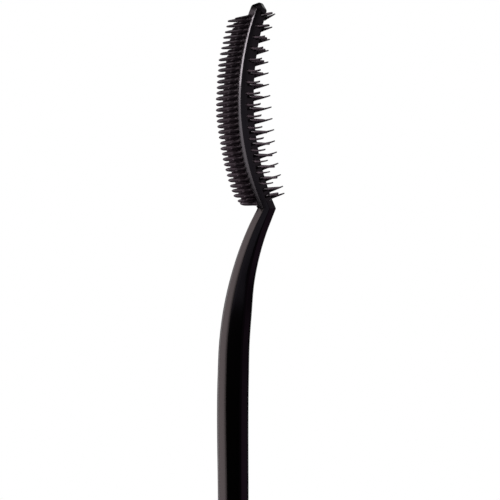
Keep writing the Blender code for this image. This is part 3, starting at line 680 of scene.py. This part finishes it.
# --- materials ----------------------------------------------------------------------------------------
class Nodes:
    """A short way to write a material's nodes."""

    def __init__(self, name):
        self.material = bpy.data.materials.new(name)
        self.material.use_nodes = True
        self.tree = self.material.node_tree
        self.shader = self.tree.nodes["Principled BSDF"]
        self.object_place = self.add("ShaderNodeTexCoord").outputs["Object"]

    def add(self, kind, **settings):
        node = self.tree.nodes.new(kind)
        for key, value in settings.items():
            setattr(node, key, value)
        return node

    def link(self, source, target):
        self.tree.links.new(source, target)

    def components(self):
        """X, Y and Z of each point."""
        separate = self.add("ShaderNodeSeparateXYZ")
        self.link(self.object_place, separate.inputs[0])
        return [separate.outputs[i] for i in range(3)]

    def scaled(self, scale):
        """Each point's place, stretched for a pattern that isn't the same along X, Y and Z."""
        node = self.add("ShaderNodeMapping")
        node.inputs["Scale"].default_value = scale
        self.link(self.object_place, node.inputs["Vector"])
        return node.outputs["Vector"]

    def noise(self, scale, detail=3.0, place=None, roughness=0.5):
        node = self.add("ShaderNodeTexNoise")
        node.inputs["Scale"].default_value = scale
        node.inputs["Detail"].default_value = detail
        node.inputs["Roughness"].default_value = roughness
        self.link(place or self.object_place, node.inputs["Vector"])
        return node.outputs["Fac"]

    def cells(self, scale, feature="F1", place=None):
        node = self.add("ShaderNodeTexVoronoi", feature=feature)
        node.inputs["Scale"].default_value = scale
        self.link(place or self.object_place, node.inputs["Vector"])
        return node.outputs["Distance"]

    def spread(self, source, low, high, from_low=0.0, from_high=1.0):
        """The source's range from_low to from_high, spread from low to high."""
        node = self.add("ShaderNodeMapRange")
        ends = {"From Min": from_low, "From Max": from_high, "To Min": low, "To Max": high}
        for key, value in ends.items():
            node.inputs[key].default_value = value
        self.link(source, node.inputs["Value"])
        return node.outputs["Result"]

    def maths(self, operation, first, second=0.0):
        node = self.add("ShaderNodeMath", operation=operation)
        for socket, value in zip(node.inputs, (first, second)):
            if isinstance(value, (int, float)):
                socket.default_value = value
            else:
                self.link(value, socket)
        return node.outputs["Value"]

    def far(self, first, second):
        """The length of the hypotenuse over these two."""
        squares = [self.maths("MULTIPLY", value, value) for value in (first, second)]
        return self.maths("SQRT", self.maths("ADD", *squares))

    def blend_colour(self, share, first, second):
        """From the first colour, at 0, to the second, at 1."""
        node = self.add("ShaderNodeMix", data_type="RGBA")
        self.link(share, node.inputs[0])
        for socket, value in ((node.inputs[6], first), (node.inputs[7], second)):
            if isinstance(value, tuple):
                socket.default_value = (*value, 1)
            else:
                self.link(value, socket)
        return node.outputs[2]

    def bump(self, height, distance, strength=1.0, normal=None):
        node = self.add("ShaderNodeBump")
        node.inputs["Strength"].default_value = strength
        node.inputs["Distance"].default_value = distance
        self.link(height, node.inputs["Height"])
        if normal:
            self.link(normal, node.inputs["Normal"])
        return node.outputs["Normal"]

    def edges(self, radius):
        """1 along sharp edges and 0 on open faces."""
        bevel = self.add("ShaderNodeBevel", samples=4)
        bevel.inputs["Radius"].default_value = radius
        flat = self.add("ShaderNodeNewGeometry").outputs["Normal"]
        dot = self.add("ShaderNodeVectorMath", operation="DOT_PRODUCT")
        self.link(bevel.outputs["Normal"], dot.inputs[0])
        self.link(flat, dot.inputs[1])
        return self.spread(dot.outputs["Value"], 1, 0, 0.90, 0.995)

    def off_centre_line(self):
        """How far each point lies from the head's centre line, and how far towards the comb's side."""
        x, y, z = self.components()
        x, z = self.maths("SUBTRACT", x, ARC_CENTRE.x), self.maths("SUBTRACT", z, ARC_CENTRE.z)
        combwards = self.maths("SUBTRACT", self.far(x, z), ARC_RADIUS)
        return self.far(combwards, y), combwards

    def finish(self, colour=None, roughness=None, normal=None, **values):
        """Sets the shader's inputs, to a number, a colour or what another node gives."""
        for key, value in (("Base Color", colour), ("Roughness", roughness), ("Normal", normal)):
            if value is None:
                continue
            if isinstance(value, tuple):
                self.shader.inputs[key].default_value = (*value, 1)
            elif isinstance(value, (int, float)):
                self.shader.inputs[key].default_value = value
            else:
                self.link(value, self.shader.inputs[key])
        for key, value in values.items():
            self.shader.inputs[key.replace("_", " ").title()].default_value = value
        return self.material


def moulded_black():
    """Glossy injection-moulded black: flow marks along the part, a faint orange peel, and lighter, rougher
    edges that are partly wear and partly a painted highlight.
    """
    n = Nodes("hard_black_plastic")
    flow = n.noise(1, 4, n.scaled((900, 900, 90)))
    peel = n.noise(9000, 2)
    # Edge mask from the Bevel node, made patchy by noise: partly wear and partly a painted highlight along
    # the sharp edges.
    brightened_edges = n.maths("MULTIPLY", n.edges(0.04 * MM), n.spread(n.noise(700, 4), 0, 1, 0.35, 0.65))
    colour = n.blend_colour(flow, (0.0008, 0.0005, 0.0007), (0.0018, 0.0013, 0.0016))
    # Paints the edges lighter: partly wear and partly a painted highlight.
    colour = n.blend_colour(n.maths("MULTIPLY", brightened_edges, 0.25), colour, (0.02, 0.019, 0.02))
    roughness = n.maths("ADD", n.spread(flow, 0.16, 0.24), n.maths("MULTIPLY", brightened_edges, 0.12))
    normal = n.bump(peel, 0.0008 * MM, 0.5, n.bump(flow, 0.004 * MM, 0.5))
    return n.finish(colour, roughness, normal)


def soft_black():
    """Satin elastomer, finely grained. Near the core, the lifting strip's skin is painted nearly black and
    made glossy like the core. This dark colour is painted shade at the bristles' roots. Its bristles and the
    whole comb strip are greyer, and the comb darkens towards the tip."""
    n = Nodes("soft_black_elastomer")
    grain = n.noise(14000, 2)
    cloud = n.noise(1300, 4)
    distance, combwards = n.off_centre_line()
    on_comb = n.spread(combwards, 0, 1, 0, 0.3 * MM)
    # Mask: 0 on the lifting strip's skin near the core and 1 on its bristles and on the whole comb strip. The
    # dark skin that it picks out is painted shade at the bristles' roots.
    free = n.maths("MAXIMUM", n.spread(distance, 0, 1, 1.38 * MM, 1.55 * MM), on_comb)
    colour = n.blend_colour(n.spread(cloud, 0, 1, 0.3, 0.7), (0.033, 0.024, 0.029), (0.055, 0.041, 0.048))
    darkened = n.spread(n.components()[2], 0, 0.55, KNEE.z + 7 * MM, KNEE.z + 19 * MM)
    colour = n.blend_colour(n.maths("MULTIPLY", darkened, on_comb), colour, (0.006, 0.004, 0.005))
    # Paints the lifting strip's skin near the core nearly black, as painted shade between the bristles'
    # roots. The bristles keep the greyer colour.
    colour = n.blend_colour(free, (0.0030, 0.0022, 0.0026), colour)
    rough = n.spread(n.maths("ADD", cloud, n.maths("MULTIPLY", grain, 0.3)), 0.38, 0.55)
    roughness = n.maths("ADD", n.maths("MULTIPLY", rough, free), n.spread(free, 0.24, 0.0))
    normal = n.bump(grain, 0.0015 * MM, 0.5)
    return n.finish(colour, roughness, normal)


def polished_black():
    """The cap's polished shell, with hairline handling marks."""
    n = Nodes("cap_polished_black")
    smear = n.noise(160, 5, roughness=0.6)
    hair = n.cells(1, "DISTANCE_TO_EDGE", n.scaled((300, 300, 2600)))
    patch = n.spread(n.noise(260, 3), 0, 1, 0.5, 0.7)
    scratch = n.maths("MULTIPLY", n.spread(hair, 1, 0, 0.0, 0.012), patch)
    colour = n.blend_colour(n.maths("MULTIPLY", scratch, 0.25), (0.0065, 0.0065, 0.0072), (0.03, 0.03, 0.032))
    roughness = n.maths("ADD", n.spread(smear, 0.07, 0.17, 0.3, 0.75), n.maths("MULTIPLY", scratch, 0.15))
    normal = n.bump(n.noise(1500, 2), 0.002 * MM, 0.25)
    return n.finish(colour, roughness, normal, coat_weight=0.35, coat_roughness=0.05)


def dark_metal():
    """Dark anodised aluminium, turned: fine rings round the axis and brighter worn edges."""
    n = Nodes("dark_anodised_aluminium")
    x, y, z = n.components()
    combine = n.add("ShaderNodeCombineXYZ")
    n.link(n.far(x, y), combine.inputs[0])
    n.link(z, combine.inputs[2])
    rings = n.noise(22000, 3, combine.outputs[0])
    broad = n.noise(2500, 2, combine.outputs[0])
    brightened_edges = n.edges(0.06 * MM)
    colour = n.blend_colour(rings, (0.085, 0.085, 0.09), (0.14, 0.14, 0.145))
    colour = n.blend_colour(n.maths("MULTIPLY", brightened_edges, 0.5), colour, (0.32, 0.32, 0.33))
    roughness = n.spread(n.maths("ADD", rings, broad), 0.2, 0.36, 0.6, 1.4)
    normal = n.bump(rings, 0.002 * MM, 0.6)
    return n.finish(colour, roughness, normal, metallic=1.0, anisotropic=0.5)


def matte_black():
    """The inner cap's natural-finish polypropylene."""
    n = Nodes("insert_polypropylene")
    grain = n.noise(5000, 3)
    colour = n.blend_colour(grain, (0.016, 0.016, 0.0165), (0.026, 0.026, 0.026))
    normal = n.bump(grain, 0.004 * MM, 0.6)
    return n.finish(colour, n.spread(grain, 0.45, 0.62), normal)


def foam():
    """Closed-cell foam of the sealing washer."""
    n = Nodes("washer_foam")
    cell = n.cells(5200)
    colour = n.blend_colour(n.spread(cell, 0, 1, 0.1, 0.6), (0.42, 0.42, 0.41), (0.62, 0.62, 0.60))
    normal = n.bump(cell, 0.02 * MM, 0.7)
    return n.finish(colour, n.spread(n.noise(2000), 0.75, 0.92), normal)


def bare_steel():
    """Turned steel of the hidden weight."""
    n = Nodes("weight_steel")
    lines = n.noise(1, 3, n.scaled((600, 600, 26000)))
    stain = n.noise(500, 4)
    colour = n.blend_colour(n.spread(stain, 0, 1, 0.4, 0.7), (0.52, 0.52, 0.53), (0.38, 0.36, 0.34))
    normal = n.bump(lines, 0.003 * MM, 0.5)
    return n.finish(colour, n.spread(lines, 0.28, 0.45), normal, metallic=1.0)


# --- assembly -----------------------------------------------------------------------------------------
FINISHES = {
    "hard_black": moulded_black,
    "soft_black": soft_black,
    "insert_black": matte_black,
    "washer_grey": foam,
    "dark_metal": dark_metal,
    "shell_black": polished_black,
    "weight_steel": bare_steel,
}
SLOTS = {
    "head_core": "hard_black",
    "stem": "hard_black",
    "comb_strip": "soft_black",
    "lift_strip": "soft_black",
    "cap_insert": "insert_black",
    "seal_washer": "washer_grey",
    "collar_ring": "dark_metal",
    "cap_shell": "shell_black",
    "end_disc": "dark_metal",
    "cap_weight": "weight_steel",
}


def make_pieces():
    """Builds all ten pieces, each in place of its CAD node and with its finish."""
    pieces = {
        "head_core": make_core(),
        "stem": make_stem(),
        "comb_strip": make_strip("comb_bristles", -1, comb_section, COMB_STRIP, COMB_ROWS, 3),
        "lift_strip": make_strip("lifting_bristles", 1, saddle_section, LIFT_STRIP, LIFT_ROWS, 5),
    }
    pieces.update(make_cap())
    finishes = {slot: make() for slot, make in FINISHES.items()}
    for node, piece in pieces.items():
        slot = SLOTS[node]
        piece.data.materials.clear()
        piece.data.materials.append(finishes[slot])
        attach(piece, "root")
        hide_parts(node)
    return pieces


# --- stage, lights and camera -------------------------------------------------------------------------
FLOOR_RADIUS = 0.42
FLOOR_FADE = (0.16, 0.40)
FLOOR_DROP = 0.02 * MM
FLOOR_GREY = 0.86
AMBIENT = 0.006
WHITE = (1, 1, 1)
COOL = (0.92, 0.82, 1.05)
ROSE = (1.0, 0.91, 0.98)
ORCHID = (1.0, 0.90, 0.99)
MAUVE = (1.0, 0.86, 0.93)
SALMON = (1.0, 0.83, 0.85)
PINK = (1.0, 0.92, 0.93)
VIOLET = (1.0, 0.80, 1.0)
PLUM = (1.0, 0.55, 0.95)
# A light: its name, its place, what it faces, its width and height, its radiance and its colour.
ALL_LIGHTS = (
    ("top_box", (0.02, -0.05, 0.52), (0.003, 0, MOUTH + 50 * MM), (0.22, 0.22), 3.0, WHITE),
    ("front_card", (0, -0.07, 0.0905), (0, 0, 0.0905), (0.08, 0.015), 0.30, COOL),
    ("front_card_high", (0, -0.07, 0.1055), (0, 0, 0.1055), (0.08, 0.015), 0.14, COOL),
)
HEAD_LIGHTS = (
    ("key_box", (-0.257, -0.306, 0.215), (0.003, 0, 0.105), (0.13, 0.18), 16.6, ROSE),
    ("low_box", (-0.225, -0.268, 0.062), (0.003, 0, 0.088), (0.13, 0.11), 2.75, ORCHID),
    ("left_box", (-0.345, -0.060, 0.125), (0, 0, 0.09), (0.30, 0.28), 1.7, MAUVE),
    ("head_back", (-0.20, 0.36, 0.19), (0, 0, 0.10), (0.22, 0.26), 2.2, WHITE),
    ("head_back_right", (0.30, 0.24, 0.17), (0, 0, 0.10), (0.12, 0.26), 1.6, WHITE),
    ("crown_card", (0, -0.075, 0.152), (0.003, 0, 0.110), (0.08, 0.05), 0.25, VIOLET),
    ("right_box", (0.36, -0.02, 0.13), (0, 0, 0.1), (0.30, 0.30), 0.21, VIOLET),
)
STEM_LIGHTS = (
    ("side_box", (-0.345, -0.060, 0.140), (0, 0, 0.09), (0.30, 0.33), 1.9, SALMON),
    ("side_fade", (-0.256, -0.239, 0.140), (0, 0, 0.09), (0.11, 0.33), 0.95, SALMON),
    ("side_back", (-0.320, 0.210, 0.140), (0, 0, 0.09), (0.24, 0.33), 1.8, PINK),
    ("stem_back", (0.16, 0.36, 0.16), (0, 0, 0.08), (0.14, 0.30), 1.1, WHITE),
    ("right_fade", (0.36, -0.02, 0.13), (0, 0, 0.1), (0.30, 0.20), 0.04, PLUM),
    ("right_card", (0.14, -0.010, 0.025), (0.003, 0, 0.075), (0.10, 0.07), 0.13, PLUM),
    ("corner_card", (0.16, -0.12, 0.09), (0, 0, 0.09), (0.16, 0.10), 0.045, PLUM),
)
CAP_LIGHTS = (
    ("cap_key", (-0.30, -0.28, 0.03), (0, 0, 0.03), (0.16, 0.80), 2.6, WHITE),
    ("cap_strip", (0.36, -0.20, 0.03), (0, 0, 0.03), (0.05, 0.80), 3.2, WHITE),
    ("cap_top", (0, 0.05, 0.50), (0, 0, 0.04), (0.30, 0.30), 5.0, WHITE),
    ("cap_back", (0.22, 0.34, 0.03), (0, 0, 0.03), (0.13, 0.80), 2.6, WHITE),
    ("cap_back_strip", (-0.36, 0.20, 0.03), (0, 0, 0.03), (0.05, 0.80), 3.2, WHITE),
)
FLOOR_LIGHTS = (("floor_box", (-0.15, -0.2, 0.7), (0, 0, 0), (0.5, 0.5), 9.0, WHITE),)
HEAD_NODES = ("head_core", "comb_strip", "lift_strip")
CAP_NODES = ("cap_insert", "seal_washer", "collar_ring", "cap_shell", "end_disc", "cap_weight")

VIEW_CENTRE = Vector((2.17 * MM, 0, MOUTH + 33.9 * MM))
VIEW_HEIGHT = 65 * MM
VIEW_ANGLE = math.radians(3.1)
SENSOR = 36


def area_light(name, place, target, size, radiance, colour):
    """A rectangular soft box of this radiance that faces the target."""
    light = bpy.data.lights.new(name, "AREA")
    light.shape = "RECTANGLE"
    light.size, light.size_y = size
    light.energy = radiance * math.pi * size[0] * size[1]
    light.color = colour
    made = bpy.data.objects.new(name, light)
    bpy.context.scene.collection.objects.link(made)
    made.location = place
    made.rotation_euler = (Vector(target) - Vector(place)).to_track_quat("-Z", "Y").to_euler()
    made.visible_camera = False
    return made


def lights_for(pieces, lights):
    """Soft boxes that light only these pieces."""
    lit = bpy.data.collections.new("lit_by_" + lights[0][0])
    bpy.context.scene.collection.children.link(lit)
    for piece in pieces:
        lit.objects.link(piece)
    for light in lights:
        area_light(*light).light_linking.receiver_collection = lit


def make_floor():
    """A pale disc that fades out into the white world and is hidden from reflections."""
    bm = bmesh.new()
    bmesh.ops.create_circle(bm, cap_ends=True, segments=128, radius=FLOOR_RADIUS)
    floor = mesh_object("floor", bm)
    floor.location.z = -FLOOR_DROP
    floor.visible_diffuse = False
    floor.visible_glossy = False
    floor.visible_shadow = False
    n = Nodes("pale_floor")
    n.finish((FLOOR_GREY, FLOOR_GREY, FLOOR_GREY), 0.6)
    away = n.add("ShaderNodeVectorMath", operation="LENGTH")
    n.link(n.object_place, away.inputs[0])
    n.link(n.spread(away.outputs["Value"], 1, 0, *FLOOR_FADE), n.shader.inputs["Alpha"])
    floor.data.materials.append(n.material)
    return floor


def make_world():
    """White where the camera sees it, and a faint ambient light otherwise."""
    world = bpy.data.worlds.new("studio")
    bpy.context.scene.world = world
    world.use_nodes = True
    tree = world.node_tree
    tree.nodes.clear()
    out = tree.nodes.new("ShaderNodeOutputWorld")
    mix, path = tree.nodes.new("ShaderNodeMixShader"), tree.nodes.new("ShaderNodeLightPath")
    tree.links.new(path.outputs["Is Camera Ray"], mix.inputs[0])
    for socket, strength in ((1, AMBIENT), (2, 1)):
        white = tree.nodes.new("ShaderNodeBackground")
        white.inputs["Color"].default_value = (1, 1, 1, 1)
        white.inputs["Strength"].default_value = strength
        tree.links.new(white.outputs[0], mix.inputs[socket])
    tree.links.new(mix.outputs[0], out.inputs["Surface"])


def make_camera():
    """A level view along +Y from far away, as high as the photo shows of the wand."""
    data = bpy.data.cameras.new("camera")
    data.sensor_width = SENSOR
    data.lens = SENSOR / 2 / math.tan(VIEW_ANGLE / 2)
    data.clip_start, data.clip_end = 0.05, 20
    camera = bpy.data.objects.new("camera", data)
    bpy.context.scene.collection.objects.link(camera)
    distance = VIEW_HEIGHT / 2 / math.tan(VIEW_ANGLE / 2)
    camera.location = VIEW_CENTRE - Vector((0, distance, 0))
    camera.rotation_euler = (math.pi / 2, 0, 0)
    bpy.context.scene.camera = camera


def make_stage(pieces):
    """The floor, the world, the lights and the camera round the pieces."""
    floor = make_floor()
    make_world()
    for light in ALL_LIGHTS:
        area_light(*light)
    lights_for([pieces[node] for node in HEAD_NODES], HEAD_LIGHTS)
    lights_for([pieces["stem"]], STEM_LIGHTS)
    lights_for([pieces[node] for node in CAP_NODES], CAP_LIGHTS)
    lights_for([floor], FLOOR_LIGHTS)
    make_camera()
    bpy.context.scene.view_settings.view_transform = "Standard"


make_stage(make_pieces())
